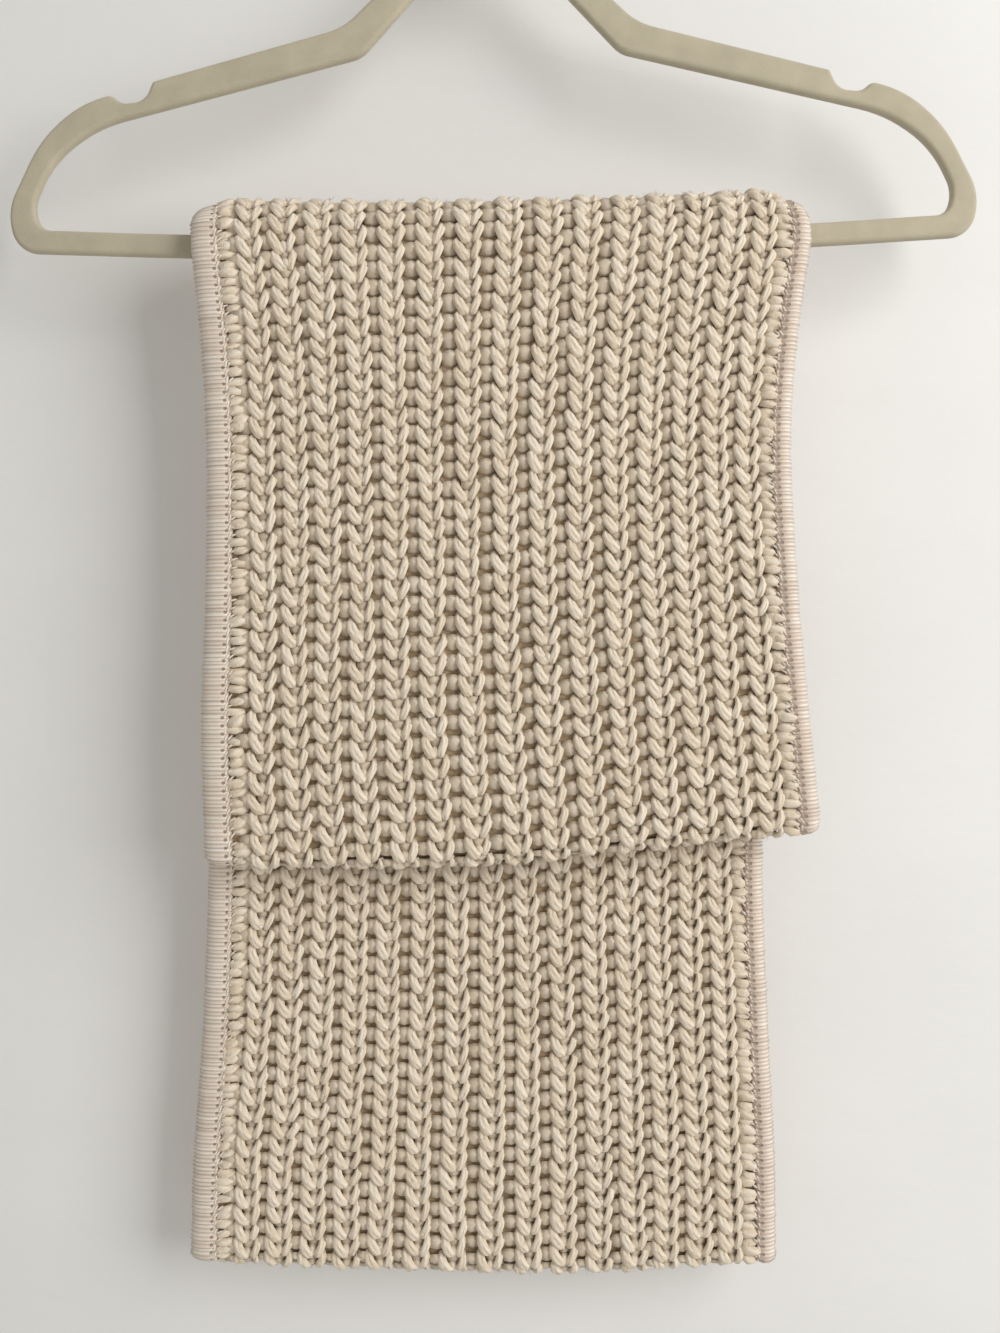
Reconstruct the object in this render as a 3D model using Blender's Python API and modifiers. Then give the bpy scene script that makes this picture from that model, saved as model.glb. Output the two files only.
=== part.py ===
"""A loop scarf in a chunky rib knit, folded flat and draped over the bar of a flocked hanger.

Metres, +Z up. The origin is the highest point inside the hook, where the hanger hangs.
+X runs along the bar, and the short drop of the scarf faces -Y.
"""

import math
from collections import namedtuple

import bpy

MM = 0.001

# Cloth
WALL = 7.0 * MM  # the knit's own thickness
EDGE_WALL = 6.4 * MM  # the knit pressed together under the overlocking
EDGING = 10.0 * MM  # width of the overlocked band
SEAM = 0.3 * MM  # clearance between neighbouring solids
INSET = 1.2 * MM  # the inner layer of a drop stops this far inside the outer one
COLUMNS = 12  # faces across a panel
ROWS = {"front": 14, "back": 20}  # faces down a drop
ARC_STEPS = 9  # faces round the stretch over the bar, the same in both layers
FOLD_STEPS = 6  # faces round the fold at the foot of a drop
STRAIGHT = 2.0 * MM  # straight run at both ends of a bend, before the next stretch

# Hanger
HANGER_THICK = 5.5 * MM
HANGER_ROUND = 1.4 * MM  # radius along the edges of the body
BAR_TOP = -224.8 * MM  # upper edge of the bar at mid-span
BAR_DEEP = 10.4 * MM
BAR_BOW = 6.0 * MM  # the bar's ends stand this much higher than its middle
BAR_REACH = 209.0 * MM  # half of the bar's length
ARC_STEP = math.radians(12)

# Hook
WIRE = 3.5 * MM
HOOK_RADIUS = 19.5 * MM  # inside the hook
HOOK_FILLET = 8.0 * MM  # bend between the shank and the round of the hook
HOOK_TIP = math.radians(208)
NECK_TOP = -64.0 * MM

# Where the cloth leaves the bar, and the gap between the two drops
SPRING = -225.6 * MM
CREST_FLAT = 0.8 * MM  # half of the flat on top of the bar
CREST_RADIUS = 2.6 * MM  # inner face of the inner layer, over the bar's rounded edges
GAP_TOP = 2 * (CREST_FLAT + CREST_RADIUS)
GAP_LOW = 2.2 * MM
GAP_LENGTH = 90.0 * MM  # the drops close up over this length below the bar

Corner = namedtuple("Corner", "x z radius")
EdgeRow = namedtuple("EdgeRow", "z left right")
HemRow = namedtuple("HemRow", "x z")

# Right half of the hanger's outline in millimetres, from the neck down to the end of the bar.
OUTER_CORNERS = [
    Corner(0.0, -64.0, 0.0),
    Corner(9.0, -64.0, 3.0),
    Corner(10.5, -72.5, 14.0),
    Corner(68.0, -127.8, 30.0),
    Corner(156.3, -151.2, 1.8),
    Corner(160.2, -160.2, 4.2),
    Corner(170.8, -161.2, 4.2),
    Corner(175.8, -157.0, 3.0),
    Corner(190.5, -161.0, 18.0),
    Corner(209.0, -177.6, 40.0),
    Corner(224.6, -210.0, 16.0),
    Corner(219.6, -228.6, 12.0),
    Corner(205.0, -229.6, 0.0),
]
INNER_CORNERS = [
    Corner(0.0, -98.0, 0.0),
    Corner(20.0, -98.0, 16.0),
    Corner(59.6, -141.2, 14.0),
    Corner(182.0, -171.4, 22.0),
    Corner(203.2, -187.0, 26.0),
    Corner(212.6, -208.0, 7.0),
    Corner(208.8, -219.0, 6.0),
    Corner(198.0, -219.4, 0.0),
]

# Long edges of the two drops in millimetres, from the bar downwards.
EDGES = {
    "front": [
        EdgeRow(-222.0, -136.5, 144.0),
        EdgeRow(-277.0, -132.0, 135.0),
        EdgeRow(-330.0, -130.5, 130.8),
        EdgeRow(-392.0, -132.1, 132.5),
        EdgeRow(-450.0, -134.8, 136.4),
        EdgeRow(-515.0, -134.2, 141.4),
    ],
    "back": [
        EdgeRow(-222.0, -136.5, 144.0),
        EdgeRow(-300.0, -134.0, 136.0),
        EdgeRow(-400.0, -134.5, 127.0),
        EdgeRow(-516.0, -138.0, 119.8),
        EdgeRow(-600.0, -142.4, 121.0),
        EdgeRow(-660.0, -147.6, 122.8),
        EdgeRow(-710.0, -149.8, 122.6),
    ],
}

# Lowest line of each drop in millimetres, from left to right.
HEMS = {
    "front": [
        HemRow(-140.0, -512.6),
        HemRow(-90.0, -515.0),
        HemRow(0.0, -514.2),
        HemRow(66.0, -508.6),
        HemRow(145.0, -502.6),
    ],
    "back": [
        HemRow(-150.0, -700.4),
        HemRow(-70.0, -706.4),
        HemRow(20.0, -709.4),
        HemRow(125.0, -706.0),
    ],
}

SIDE = {"front": -1.0, "back": 1.0}


# Small functions -----------------------------------------------------------------------


def between(rows, at, column):
    """A column of a table at a place along its first column, with smooth steps between rows."""
    key = rows[0]._fields[0]
    ordered = sorted(rows, key=lambda row: getattr(row, key))
    places = [getattr(row, key) * MM for row in ordered]
    values = [getattr(row, column) * MM for row in ordered]
    at = min(max(at, places[0]), places[-1])
    i = max(k for k in range(len(places) - 1) if places[k] <= at)
    share = (at - places[i]) / (places[i + 1] - places[i])
    slopes = []
    for k in (i, i + 1):
        low, high = max(k - 1, 0), min(k + 1, len(places) - 1)
        slopes.append((values[high] - values[low]) / (places[high] - places[low]))
    run = places[i + 1] - places[i]
    s2, s3 = share**2, share**3
    return (
        values[i] * (2 * s3 - 3 * s2 + 1)
        + slopes[0] * run * (s3 - 2 * s2 + share)
        + values[i + 1] * (3 * s2 - 2 * s3)
        + slopes[1] * run * (s3 - s2)
    )


def bow(x):
    """How much higher the bar is at x than at mid-span."""
    return BAR_BOW * (x / BAR_REACH) ** 2


def gap(z):
    """The space between the two drops at a height."""
    share = min(max((SPRING - z) / GAP_LENGTH, 0.0), 1.0)
    return GAP_TOP + (GAP_LOW - GAP_TOP) * (1 - math.cos(share * math.pi)) / 2


def wave(side, x, z):
    """The slow waves of a drop, none at the bar and most at its foot."""
    share = min(max((SPRING - z) / (300 * MM), 0.0), 1.0) ** 1.5
    across = math.sin(x / (38 * MM) + (1.1 if side == "front" else 2.9))
    return 0.8 * MM * share * (1.0 + across) * SIDE[side]


def depth(layer):
    """From the inner face of the inner layer to the middle of a layer."""
    return WALL / 2 if layer == "inner" else WALL * 1.5 + SEAM


# The middle surface of the cloth, stretch by stretch ---------------------------------------


def fold_radius():
    return (WALL + SEAM) / 2


def foot(side, x):
    """The height at which the fold at the foot of a drop begins."""
    return between(HEMS[side], x, "z") + fold_radius() + WALL / 2


def drop_point(side, layer, share, x):
    top = SPRING + bow(x) - STRAIGHT - SEAM
    low = foot(side, x) + STRAIGHT + SEAM
    z = top + (low - top) * share
    y = SIDE[side] * (gap(z) / 2 + depth(layer)) + wave(side, x, z)
    return y, z


def bend(share, radius, flat):
    """A half turn, as (along, up), with its straight run before share 0 and after share 1."""
    if share < 0:
        return -flat - radius, -STRAIGHT
    if share > 1:
        return flat + radius, -STRAIGHT
    turn = math.pi * share
    return (-flat if share < 0.5 else flat) - radius * math.cos(turn), radius * math.sin(turn)


def crest_point(layer, share, x):
    """From the front of the bar over its top to the back."""
    along, up = bend(share, CREST_RADIUS + depth(layer), CREST_FLAT)
    return along, SPRING + bow(x) + up


def fold_point(side, share, x):
    """From the outer layer round the foot of the drop to the inner layer."""
    along, up = bend(share, fold_radius(), 0.0)
    low = foot(side, x)
    level = low - min(up, 0.0)
    middle = SIDE[side] * (gap(level) / 2 + WALL + SEAM / 2) + wave(side, x, level)
    return middle - SIDE[side] * along, low - up


def edge_at(side, name, z, inset):
    x = between(EDGES[side], z, name)
    return x + inset if name == "left" else x - inset


# Meshes and objects ---------------------------------------------------------------------


def material(name, colour, roughness, metallic=0.0):
    made = bpy.data.materials.new(name)
    made.use_nodes = True
    shader = made.node_tree.nodes["Principled BSDF"]
    shader.inputs["Base Color"].default_value = (*colour, 1.0)
    shader.inputs["Roughness"].default_value = roughness
    shader.inputs["Metallic"].default_value = metallic
    made.diffuse_color = (*colour, 1.0)
    return made


def collection_of(name):
    made = bpy.data.collections.new(name)
    bpy.context.scene.collection.children.link(made)
    return made


def cloth(name, rows, wall, finish, home):
    """A wall of cloth from rows of points on its middle surface."""
    across = len(rows[0])
    mesh = bpy.data.meshes.new(name)
    faces = [
        (
            r * across + c,
            r * across + c + 1,
            (r + 1) * across + c + 1,
            (r + 1) * across + c,
        )
        for r in range(len(rows) - 1)
        for c in range(across - 1)
    ]
    mesh.from_pydata([point for row in rows for point in row], [], faces)
    mesh.materials.append(finish)
    mesh.shade_smooth()
    made = bpy.data.objects.new(name, mesh)
    home.objects.link(made)
    solid = made.modifiers.new("wall", "SOLIDIFY")
    solid.thickness = wall
    solid.offset = 0.0
    solid.use_even_offset = True
    solid.use_rim = True
    return made


def row_across(side, z, inset, part, place):
    """One row of points across a stretch: its panel, or the band along one of its edges."""
    left = edge_at(side, "left", z, inset)
    right = edge_at(side, "right", z, inset)
    spans = {
        "panel": (left + EDGING + SEAM / 2, right - EDGING - SEAM / 2, COLUMNS),
        "left": (left, left + EDGING - SEAM / 2, 2),
        "right": (right - EDGING + SEAM / 2, right, 2),
    }
    start, end, steps = spans[part]
    xs = [start + (end - start) * k / steps for k in range(steps + 1)]
    return [(x, *place(x)) for x in xs]


def shares(steps):
    return [k / steps for k in range(steps + 1)]


def bend_shares(steps):
    """Steps round a bend, with one before it and one after it for the straight runs."""
    return [-1.0, *shares(steps), 2.0]


def drop_rows(side, layer, part):
    inset = INSET if layer == "inner" else 0.0
    middle = 0.0
    return [
        row_across(
            side,
            drop_point(side, layer, share, middle)[1],
            inset,
            part,
            lambda x, share=share: drop_point(side, layer, share, x),
        )
        for share in shares(ROWS[side])
    ]


def crest_rows(layer, part):
    inset = INSET if layer == "inner" else 0.0
    return [
        row_across(
            "front",
            SPRING,
            inset,
            part,
            lambda x, share=share: crest_point(layer, share, x),
        )
        for share in bend_shares(ARC_STEPS)
    ]


def fold_rows(side, part):
    return [
        row_across(
            side,
            foot(side, 0.0),
            INSET * min(max(share, 0.0), 1.0),
            part,
            lambda x, share=share: fold_point(side, share, x),
        )
        for share in bend_shares(FOLD_STEPS)
    ]


def rounded(corners):
    """Points along straight runs between corners, with an arc of its own radius at each."""
    points = []
    for k, corner in enumerate(corners):
        here = (corner.x * MM, corner.z * MM)
        if corner.radius == 0 or k in (0, len(corners) - 1):
            points.append(here)
            continue
        before = (corners[k - 1].x * MM, corners[k - 1].z * MM)
        after = (corners[k + 1].x * MM, corners[k + 1].z * MM)
        heading_in = math.atan2(here[1] - before[1], here[0] - before[0])
        heading_out = math.atan2(after[1] - here[1], after[0] - here[0])
        turn = (heading_out - heading_in + math.pi) % (2 * math.pi) - math.pi
        radius = corner.radius * MM
        reach = radius * math.tan(abs(turn) / 2)
        x = here[0] - reach * math.cos(heading_in)
        z = here[1] - reach * math.sin(heading_in)
        steps = max(2, math.ceil(abs(turn) / ARC_STEP))
        chord = 2 * radius * math.sin(abs(turn) / steps / 2)
        points.append((x, z))
        for step in range(steps):
            heading = heading_in + turn * (step + 0.5) / steps
            x += chord * math.cos(heading)
            z += chord * math.sin(heading)
            points.append((x, z))
    return points


def bar_line(reach, height):
    """The bowed line of the bar, from its right end to mid-span."""
    steps = 12
    xs = [reach * (1 - k / steps) for k in range(1, steps + 1)]
    return [(x, height + bow(x)) for x in xs]


def outline(corners, bar_reach, bar_height):
    """A closed outline: its right half, then the same points mirrored back up."""
    right = rounded(corners) + bar_line(bar_reach, bar_height)
    left = [(-x, z) for x, z in reversed(right[1:-1])]
    return right + left


def hanger_body(finish, home):
    curve = bpy.data.curves.new("hanger_body", "CURVE")
    curve.dimensions = "2D"
    curve.fill_mode = "BOTH"
    curve.extrude = HANGER_THICK / 2 - HANGER_ROUND
    curve.bevel_depth = HANGER_ROUND
    curve.bevel_resolution = 1
    curve.offset = -HANGER_ROUND
    outlines = (
        outline(OUTER_CORNERS, OUTER_CORNERS[-1].x * MM, BAR_TOP - BAR_DEEP),
        outline(INNER_CORNERS, INNER_CORNERS[-1].x * MM, BAR_TOP),
    )
    for points in outlines:
        spline = curve.splines.new("POLY")
        spline.points.add(len(points) - 1)
        for target, (x, z) in zip(spline.points, points, strict=True):
            target.co = (x, z, 0.0, 1.0)
        spline.use_cyclic_u = True
    curve.materials.append(finish)
    body = bpy.data.objects.new("hanger_body", curve)
    body.rotation_euler = (math.pi / 2, 0.0, 0.0)
    home.objects.link(body)
    weld = body.modifiers.new("weld", "WELD")
    weld.merge_threshold = 0.00001


def arc(centre, radius, start, end):
    """Points round part of a circle, without its first one."""
    steps = math.ceil(abs(end - start) / ARC_STEP)
    turns = [start + (end - start) * k / steps for k in range(1, steps + 1)]
    return [
        (centre[0] + radius * math.cos(turn), centre[1] + radius * math.sin(turn))
        for turn in turns
    ]


def hanger_hook(finish, home):
    """Shank, a small bend outwards, and the round of the hook over the top to its tip."""
    round_radius = HOOK_RADIUS + WIRE / 2
    round_centre = (0.0, -HOOK_RADIUS)
    fall = math.sqrt((round_radius + HOOK_FILLET) ** 2 - HOOK_FILLET**2)
    fillet_centre = (HOOK_FILLET, round_centre[1] - fall)
    meet = math.atan2(-fall, HOOK_FILLET)
    points = [(0.0, NECK_TOP + SEAM), (0.0, fillet_centre[1])]
    points += arc(fillet_centre, HOOK_FILLET, math.pi, meet + math.pi)
    points += arc(round_centre, round_radius, meet, HOOK_TIP)
    curve = bpy.data.curves.new("hanger_hook", "CURVE")
    curve.dimensions = "3D"
    curve.bevel_depth = WIRE / 2
    curve.bevel_resolution = 2
    curve.use_fill_caps = True
    spline = curve.splines.new("POLY")
    spline.points.add(len(points) - 1)
    for target, (x, z) in zip(spline.points, points, strict=True):
        target.co = (x, 0.0, z, 1.0)
    curve.materials.append(finish)
    home.objects.link(bpy.data.objects.new("hanger_hook", curve))


def scarf(home):
    knit = material("oat_knit", (0.66, 0.56, 0.42), 0.95)
    thread = material("overlock_thread", (0.62, 0.48, 0.37), 0.8)
    looks = {"panel": (knit, WALL), "left": (thread, EDGE_WALL), "right": (thread, EDGE_WALL)}
    names = {"panel": "scarf", "left": "edging_left", "right": "edging_right"}
    for part, (finish, wall) in looks.items():
        for side in ("front", "back"):
            for layer in ("outer", "inner"):
                name = f"{names[part]}_{side}_{layer}"
                cloth(name, drop_rows(side, layer, part), wall, finish, home)
            cloth(f"{names[part]}_{side}_fold", fold_rows(side, part), wall, finish, home)
        for layer in ("outer", "inner"):
            name = f"{names[part]}_over_bar_{layer}"
            cloth(name, crest_rows(layer, part), wall, finish, home)


def main():
    for old in list(bpy.data.objects):
        bpy.data.objects.remove(old)
    home = collection_of("loop_scarf_on_hanger")
    hanger_body(material("flocked_taupe", (0.42, 0.38, 0.29), 0.95), home)
    hanger_hook(material("hook_metal", (0.62, 0.6, 0.56), 0.3, 1.0), home)
    scarf(home)


main()
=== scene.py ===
"""The looks of a loop scarf in a chunky rib knit, draped over the bar of a flocked hanger.

Metres, +Z up. The origin is the highest point inside the hook, +X runs along the bar,
and the short drop of the scarf faces -Y. The cloth is one loop: its face is followed along
the whole way round, and every stitch is laid on it by its place across and along.
"""

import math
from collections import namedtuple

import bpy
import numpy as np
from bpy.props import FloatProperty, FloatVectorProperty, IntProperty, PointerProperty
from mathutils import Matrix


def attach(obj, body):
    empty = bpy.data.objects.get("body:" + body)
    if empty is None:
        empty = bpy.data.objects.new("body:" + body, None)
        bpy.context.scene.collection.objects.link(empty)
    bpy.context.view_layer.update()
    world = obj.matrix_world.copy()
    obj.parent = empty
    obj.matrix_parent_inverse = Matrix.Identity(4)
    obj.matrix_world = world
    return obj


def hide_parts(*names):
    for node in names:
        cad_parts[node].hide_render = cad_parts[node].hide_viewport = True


bl_info = {
    "name": "Rib Knit Loop Scarf",
    "version": (1, 0, 0),
    "blender": (4, 5, 0),
    "location": "3D View > Sidebar > Scarf",
    "description": "Yarn, overlocking, ground cloth, hanger and stage of a rib knit loop scarf",
    "category": "Object",
}

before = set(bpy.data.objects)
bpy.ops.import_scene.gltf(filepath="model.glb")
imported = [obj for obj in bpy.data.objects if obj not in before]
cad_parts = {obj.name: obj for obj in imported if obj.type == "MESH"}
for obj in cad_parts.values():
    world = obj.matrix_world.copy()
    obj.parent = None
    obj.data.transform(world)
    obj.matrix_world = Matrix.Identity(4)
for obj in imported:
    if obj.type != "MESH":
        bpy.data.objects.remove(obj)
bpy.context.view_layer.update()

MM = 0.001


def table(kind, *rows):
    """Named rows from plain ones."""
    return [kind(*row) for row in rows]


# The form of the cloth ----------------------------------------------------------------

WALL = 7.0 * MM  # the knit's thickness
SEAM = 0.3 * MM  # between neighbouring layers
INSET = 1.2 * MM  # the inner layer of a drop stops this far inside the outer one
SPRING = -225.6 * MM  # where the cloth leaves the bar
CREST_FLAT = 0.8 * MM
CREST_RADIUS = 2.6 * MM
GAP_TOP = 2 * (CREST_FLAT + CREST_RADIUS)
GAP_LOW = 2.2 * MM
GAP_LENGTH = 90.0 * MM
FOLD_RADIUS = (WALL + SEAM) / 2
BAR_BOW = 6.0 * MM
BAR_REACH = 209.0 * MM
SIDE = {"front": -1.0, "back": 1.0}
DEPTH = {"inner": WALL / 2, "outer": WALL * 1.5 + SEAM}
CUT_WIDTH = 264.0 * MM  # across the loop, with both overlocked bands
FACE = 2.0 * MM  # stitches keep their length at this height above the cloth's middle
WAVE_HEIGHT = 0.8 * MM  # a soft wave across each drop, which grows down to WAVE_REACH
WAVE_REACH = 300.0 * MM
WAVE_LENGTH = 38.0 * MM
WAVE_START = {"front": 1.1, "back": 2.9}

EdgeRow = namedtuple("EdgeRow", "z left right")
HemRow = namedtuple("HemRow", "x z")
Corner = namedtuple("Corner", "x z radius")
BandPoint = namedtuple("BandPoint", "inward height")

EDGES = {
    "front": table(
        EdgeRow,
        (-222.0, -136.5, 143.6), (-277.0, -132.0, 135.0), (-330.0, -130.5, 130.8),
        (-392.0, -132.1, 132.5), (-450.0, -134.8, 136.4), (-515.0, -134.2, 141.4),
    ),
    "back": table(
        EdgeRow,
        (-222.0, -136.5, 143.6), (-300.0, -134.0, 136.0), (-400.0, -134.5, 127.0),
        (-516.0, -138.0, 119.8), (-600.0, -142.4, 121.0), (-660.0, -147.6, 122.8),
        (-710.0, -149.8, 122.6),
    ),
}
HEMS = {
    "front": table(
        HemRow,
        (-140.0, -512.6), (-90.0, -515.0), (0.0, -514.2), (66.0, -508.6), (145.0, -502.6),
    ),
    "back": table(HemRow, (-150.0, -700.4), (-70.0, -706.4), (20.0, -709.4), (125.0, -706.0)),
}

# Stitches, in millimetres: across the rib, along it, height above the cloth's middle, and
# thickness, ring by ring from one end of a strand to the other.
RIGHT_LEG = [
    (1.7, -3.9, 0.5, 2.9), (2.1, -3.2, 1.6, 3.4), (3.0, -1.4, 2.2, 3.4),
    (4.1, 1.0, 2.1, 3.4), (4.6, 3.1, 1.3, 3.2), (4.0, 5.4, -0.7, 2.5),
]
LEFT_LEG = [
    (-0.9, -4.3, 0.6, 3.6), (-1.4, -3.6, 1.8, 4.4), (-2.8, -1.7, 2.3, 4.4),
    (-4.2, 0.9, 2.1, 4.3), (-4.8, 3.1, 1.2, 4.0), (-4.2, 5.4, -0.9, 3.1),
]
CROTCH = [
    (0.0, -4.2, 0.0, 3.2), (0.0, -2.6, 1.5, 4.6), (0.0, -1.0, 1.5, 5.2), (0.0, 0.3, 0.0, 4.6),
]
SQUARE = [
    (0.0, -2.0, -1.5, 4.8), (0.0, -1.0, 0.0, 6.2), (0.0, 1.6, 0.2, 6.2), (0.0, 2.9, -0.9, 5.2),
]
RECESS = [
    (0.0, -3.3, -2.4, 6.0), (0.0, -2.1, -0.4, 8.2), (0.0, 1.5, 1.2, 8.8), (0.0, 3.0, 0.0, 7.2),
]
MARGIN_UPPER = [
    (-4.0, 0.4, -0.4, 3.4), (-2.6, 0.8, 0.8, 4.4), (0.7, 1.5, 1.1, 4.7), (3.8, 2.7, -0.6, 3.6),
]
MARGIN_LOWER = [
    (-3.8, -3.5, -0.5, 3.2), (-2.5, -3.3, 0.6, 4.2), (0.6, -3.0, 0.9, 4.4), (3.6, -2.0, -0.9, 3.4),
]
NEEDLE = [
    (-0.7, -1.7, -0.2, 0.7), (-0.3, -0.8, 0.35, 1.1), (0.3, 0.8, 0.35, 1.1), (0.7, 1.7, -0.2, 0.7),
]
LOOPER = [(-1.5, -1.3, -0.3, 0.7), (0.2, 0.0, 0.7, 1.0), (1.7, 1.2, -0.5, 0.7)]
FIBRES = (
    [(0.0, -0.4, -0.3, 0.12), (0.2, 0.6, 0.7, 0.1), (-0.5, 1.8, 0.9, 0.04)],
    [(0.0, -0.3, -0.3, 0.12), (-0.3, 1.0, 0.5, 0.1), (0.6, 2.5, 1.2, 0.04)],
    [(0.0, -0.2, -0.4, 0.11), (0.5, 0.3, 0.8, 0.09), (0.2, 0.9, 1.7, 0.03)],
)
LOOSE = 2.4  # how much less even the stitches beside the bands are
LEG_SIDES = 5
PAD_SIDES = 4
FIBRE_SIDES = 3
PLY_APART = 0.13  # of the yarn's thickness, from its middle to each ply's middle
PLY_RADIUS = 0.41
RIBS = 15
FIRST_RIB = 25.0 * MM
LAST_RIB = CUT_WIDTH - 18.7 * MM
RIB_PITCH = (LAST_RIB - FIRST_RIB) / (RIBS - 1)
RIB_SPREAD = 0.012  # ribs stand further apart in the middle than at both edges

# The columns of a table of laid stitches: where each lies, how it is scaled three ways, how
# far it leans, and its tone from 0 to 1.
SCALES, LEAN, TONE = slice(3, 6), 6, 7
# How far the first seven of them stray from stitch to stitch.
STRAY = np.array((0.2 * MM, 0.22 * MM, 0.15 * MM, 0.05, 0.04, 0.06, 0.05))
UV_SHIFT = np.array((97.0, 3.0))  # moves the fibres of each copy, by its tone
# Slow wandering in millimetres: how far, how long, and how wide across the ribs.
ROW_RIPPLE = (0.5, 37.0, 9.0)
RIB_RIPPLES = ((0.5, 83.0, 40.0), (0.3, 23.0, 7.0))

# The overlocked bands, from the ground of the face over the cut edge to the inside.
BANDS = {
    "left": table(
        BandPoint,
        (10.6, 0.3), (9.7, 2.0), (6.9, 2.7), (3.2, 2.4), (0.4, 1.4),
        (-1.1, -0.1), (-1.2, -1.8), (0.8, -2.9), (9.6, -2.6),
    ),
    "right": table(
        BandPoint,
        (7.0, 0.3), (6.1, 1.9), (4.2, 2.7), (1.6, 2.5), (-0.4, 1.5),
        (-1.3, 0.0), (-1.1, -1.7), (0.8, -3.0), (8.0, -3.0),
    ),
}
# How deep the ridges of a band are, how far its threads beside the knit take the blush colour, and
# the seeds of its random draws.
Hand = namedtuple("Hand", "ridge blush seed needle_seed")
HANDS = {"left": Hand(1.0, 0.15, 31, 71), "right": Hand(1.9, 1.0, 57, 73)}
# The edges lie flatter over the bar: by this much at the left edge and at the right one.
SQUEEZE = {"inner": (1.6 * MM, 2.2 * MM), "outer": (4.6 * MM, 7.5 * MM)}
SQUEEZE_REACH = 19.0 * MM
# The corners at the bar are drawn towards the middle, at the left edge and at the right one.
CORNER_PULL = {"inner": (1.0 * MM, 4.0 * MM), "outer": (2.6 * MM, 9.0 * MM)}
CORNER_REACH = 30.0 * MM
CORNER_DROP = 14.0 * MM  # it starts this far below the bar
CORNER_SHARE = 0.4  # and has this much of its pull at the bar
THREAD_RINGS = 4
THREAD_VALLEY = (1.0, 0.35, 0.0, 0.35)  # how deep the band lies at each ring of a thread
THREAD_PROUD = 0.12 * MM  # how much threads differ in height, and below in place
THREAD_STRAY = 0.14 * MM
THREAD_SLANT = 0.05
SLANT_MIDDLE = 5.0 * MM  # from the cut edge to where a slanted thread keeps its place
NEEDLE_TURN = 0.14
NEEDLE_UNEVEN = 0.07

# The hanger's outline, from its neck to its bar: the right half, in millimetres.
ARC_STEP = math.radians(4)
BAR_STEPS = 12
BAR_TOP = -224.8 * MM
BAR_DEEP = 10.4 * MM
HOOK_RADIUS = 19.5 * MM  # inside the hook
HOOK_FILLET = 8.0 * MM  # bend between the shank and the round of the hook
HOOK_TIP = math.radians(208)
HOOK_DOME = (0.97, 0.87, 0.71, 0.4)  # the wire's thickness at its last points
NECK_TOP = -64.0 * MM
OUTER_CORNERS = table(
    Corner,
    (0.0, -64.0, 0.0), (9.0, -64.0, 3.0), (10.5, -72.5, 14.0), (68.0, -127.8, 30.0),
    (156.3, -151.2, 2.2), (160.2, -160.2, 8.0), (170.8, -161.2, 7.0), (175.8, -157.0, 4.5),
    (190.5, -161.0, 50.0), (209.0, -177.6, 60.0), (225.0, -210.4, 26.0), (219.8, -228.8, 12.0),
    (205.0, -229.6, 0.0),
)
INNER_CORNERS = table(
    Corner,
    (0.0, -98.0, 0.0), (20.0, -98.0, 16.0), (59.6, -141.2, 14.0), (182.0, -171.4, 60.0),
    (203.2, -187.0, 48.0), (212.6, -208.0, 16.0), (208.8, -219.0, 7.0), (198.0, -219.4, 0.0),
)

# The stage.
WALL_SIZE = (6.0, 2.6, 1.0)
WALL_HEIGHT = -0.2  # its middle
FLOOR_SIZE = (6.0, 6.0, 1.0)
FLOOR_HEIGHT = -1.5
LIGHT_SIZE = (0.9, 1.5)
LIGHT_COLOUR = (1.0, 0.985, 0.96)
LIGHT_AIM = np.array([0.0, 0.0, -0.42])
WINDOW_PLACE = (1.15, -0.95, -0.02)
BACK_PLACE = (-0.9, 1.3, 0.2)
SKY_COLOUR = (1.0, 0.985, 0.95, 1.0)
CAMERA_PLACE = (-0.0007, -0.520, -0.4241)
CAMERA_ROLL = math.radians(1.0)
CAMERA_LENS = 30.33
CAMERA_SENSOR = 36.0
CAMERA_NEAR = 0.01


# The way round the loop ---------------------------------------------------------------


def between(rows, at, column):
    """A column of a table at places along its first column, with smooth steps between rows."""
    ordered = sorted(rows)
    places = np.array([row[0] for row in ordered]) * MM
    values = np.array([getattr(row, column) for row in ordered]) * MM
    last = len(places) - 1
    low = np.maximum(np.arange(last + 1) - 1, 0)
    high = np.minimum(np.arange(last + 1) + 1, last)
    slopes = (values[high] - values[low]) / (places[high] - places[low])
    at = np.clip(at, places[0], places[-1])
    i = np.clip(np.searchsorted(places, at, side="right") - 1, 0, last - 1)
    run = places[i + 1] - places[i]
    share = (at - places[i]) / run
    s2, s3 = share**2, share**3
    return (
        values[i] * (2 * s3 - 3 * s2 + 1)
        + slopes[i] * run * (s3 - 2 * s2 + share)
        + values[i + 1] * (3 * s2 - 2 * s3)
        + slopes[i + 1] * run * (s3 - s2)
    )


def bow(x):
    return BAR_BOW * (x / BAR_REACH) ** 2


def gap(z):
    share = np.clip((SPRING - z) / GAP_LENGTH, 0.0, 1.0)
    return GAP_TOP + (GAP_LOW - GAP_TOP) * (1 - np.cos(share * math.pi)) / 2


def wave(side, x, z):
    share = np.clip((SPRING - z) / WAVE_REACH, 0.0, 1.0) ** 1.5
    across = np.sin(x / WAVE_LENGTH + WAVE_START[side])
    return WAVE_HEIGHT * share * (1.0 + across) * SIDE[side]


def foot(side, x):
    return between(HEMS[side], x, "z") + FOLD_RADIUS + WALL / 2


def drop(side, layer, share, x):
    """Down a drop, from the bar at share 0 to its foot at share 1."""
    top = SPRING + bow(x)
    z = top + (foot(side, x) - top) * share
    return SIDE[side] * (gap(z) / 2 + DEPTH[layer]) + wave(side, x, z), z


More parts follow.
